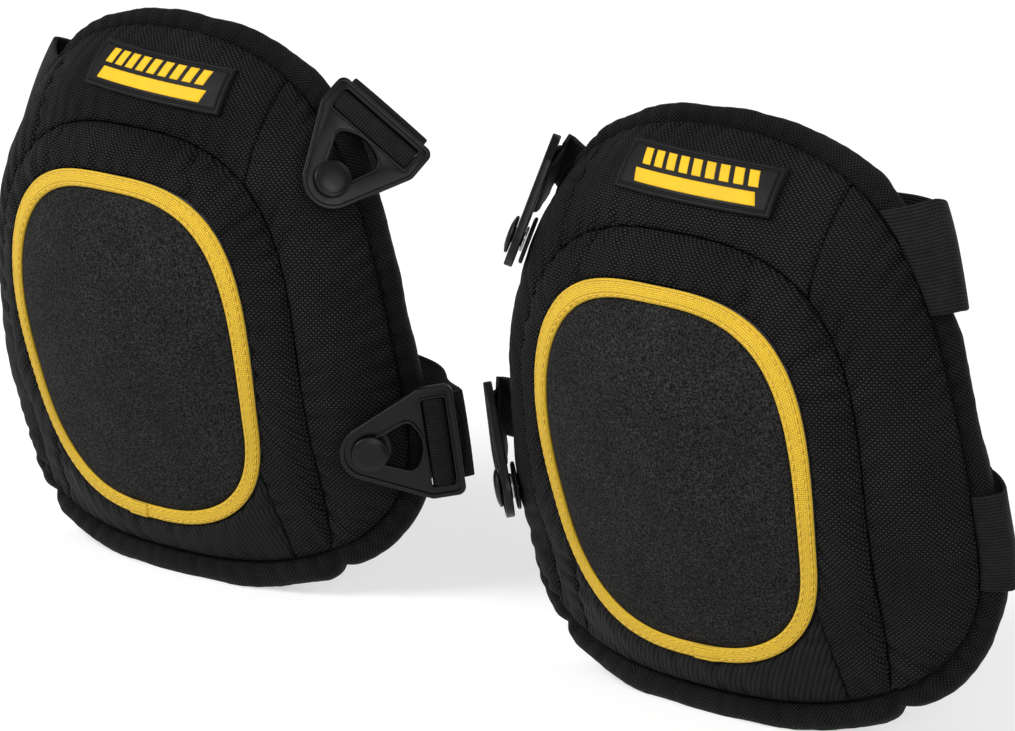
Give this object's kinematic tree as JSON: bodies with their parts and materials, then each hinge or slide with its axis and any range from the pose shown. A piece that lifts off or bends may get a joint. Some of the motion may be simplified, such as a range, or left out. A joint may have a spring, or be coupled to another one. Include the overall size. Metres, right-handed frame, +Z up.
{
  "type": "knee pads",
  "caption": "Pair of curved, padded work knee pads with a grip patch, stretch straps and plastic clips that hook over studs at the side.",
  "frame": {"origin": "on the floor, under the middle of the bounding box of the pair", "axes": "+Z up, the pads face -Y, and the left_ pad is at -X"},
  "size_m": [0.533, 0.0988, 0.2313],
  "materials": {
    "woven_nylon": "coarse ballistic weave",
    "ribbed_nylon": "diagonal rib weave",
    "binding_tape": "woven, padded",
    "soft_lining": "brushed knit",
    "padding_foam": "closed-cell foam",
    "silicone_gel": "smooth gel",
    "grip_rubber": "grained",
    "yellow_tape": "woven, stitched",
    "label_rubber": "satin",
    "elastic_webbing": "fine ribs along its length",
    "moulded_plastic": "satin",
    "plated_metal": "black plating"
  },
  "bodies": {
    "pads": {"left_liner": "soft_lining", "left_foam_core": "padding_foam", "left_gel_insert": "silicone_gel", "left_surround_foam": "padding_foam", "left_cushion_foam": "padding_foam", "left_grip_patch": "grip_rubber", "left_patch_trim": "yellow_tape", "left_cushion_cover": "woven_nylon", "left_lower_panel": "ribbed_nylon", "left_top_panel": "woven_nylon", "left_clip_side_panel": "woven_nylon", "left_strap_side_panel": "woven_nylon", "left_edge_band": "binding_tape", "left_label": "label_rubber", "left_upper_stud_plate": "moulded_plastic", "left_upper_strap": "elastic_webbing", "left_lower_stud_plate": "moulded_plastic", "left_lower_strap": "elastic_webbing", "right_liner": "soft_lining", "right_foam_core": "padding_foam", "right_gel_insert": "silicone_gel", "right_surround_foam": "padding_foam", "right_cushion_foam": "padding_foam", "right_grip_patch": "grip_rubber", "right_patch_trim": "yellow_tape", "right_cushion_cover": "woven_nylon", "right_lower_panel": "ribbed_nylon", "right_top_panel": "woven_nylon", "right_clip_side_panel": "woven_nylon", "right_strap_side_panel": "woven_nylon", "right_edge_band": "binding_tape", "right_label": "label_rubber", "right_upper_stud_plate": "moulded_plastic", "right_upper_strap": "elastic_webbing", "right_lower_stud_plate": "moulded_plastic", "right_lower_strap": "elastic_webbing"},
    "left_upper_stud_body": {"left_upper_stud": "plated_metal"},
    "left_upper_clip_body": {"left_upper_clip": "moulded_plastic", "left_upper_strap_loop": "elastic_webbing"},
    "left_lower_stud_body": {"left_lower_stud": "plated_metal"},
    "left_lower_clip_body": {"left_lower_clip": "moulded_plastic", "left_lower_strap_loop": "elastic_webbing"},
    "right_upper_stud_body": {"right_upper_stud": "plated_metal"},
    "right_upper_clip_body": {"right_upper_clip": "moulded_plastic", "right_upper_strap_loop": "elastic_webbing"},
    "right_lower_stud_body": {"right_lower_stud": "plated_metal"},
    "right_lower_clip_body": {"right_lower_clip": "moulded_plastic", "right_lower_strap_loop": "elastic_webbing"}
  },
  "joints": [
    {"name": "left_upper_swivel", "type": "hinge", "parent": "pads", "child": "left_upper_stud_body", "pos_m": [-0.05536, -0.0057, 0.17624], "axis": [0.7736, -0.4598, 0.4361], "range_deg": [-20, 20], "stiffness_Nm_per_rad": 0.05},
    {"name": "left_upper_release", "type": "slide", "parent": "left_upper_stud_body", "child": "left_upper_clip_body", "axis": [-0.1447, -0.7981, -0.5848], "range_m": [0, 0.0129], "stiffness_N_per_m": 60, "springref_m": -0.005},
    {"name": "left_lower_swivel", "type": "hinge", "parent": "pads", "child": "left_lower_stud_body", "pos_m": [-0.03977, -0.00737, 0.06935], "axis": [0.7251, -0.6819, -0.0963], "range_deg": [-20, 20], "stiffness_Nm_per_rad": 0.05},
    {"name": "left_lower_release", "type": "slide", "parent": "left_lower_stud_body", "child": "left_lower_clip_body", "axis": [-0.6886, -0.7194, -0.0908], "range_m": [0, 0.0129], "stiffness_N_per_m": 60, "springref_m": -0.005},
    {"name": "right_upper_swivel", "type": "hinge", "parent": "pads", "child": "right_upper_stud_body", "pos_m": [0.05445, -0.00932, 0.17015], "axis": [-0.7556, -0.5311, 0.3834], "range_deg": [-20, 20], "stiffness_Nm_per_rad": 0.05},
    {"name": "right_upper_release", "type": "slide", "parent": "right_upper_stud_body", "child": "right_upper_clip_body", "axis": [0.2115, -0.7518, -0.6246], "range_m": [0, 0.0129], "stiffness_N_per_m": 60, "springref_m": -0.005},
    {"name": "right_lower_swivel", "type": "hinge", "parent": "pads", "child": "right_lower_stud_body", "pos_m": [0.04198, -0.00957, 0.06929], "axis": [-0.6778, -0.7278, -0.104], "range_deg": [-20, 20], "stiffness_Nm_per_rad": 0.05},
    {"name": "right_lower_release", "type": "slide", "parent": "right_lower_stud_body", "child": "right_lower_clip_body", "axis": [0.6417, -0.5166, -0.5668], "range_m": [0, 0.0129], "stiffness_N_per_m": 60, "springref_m": -0.005}
  ]
}
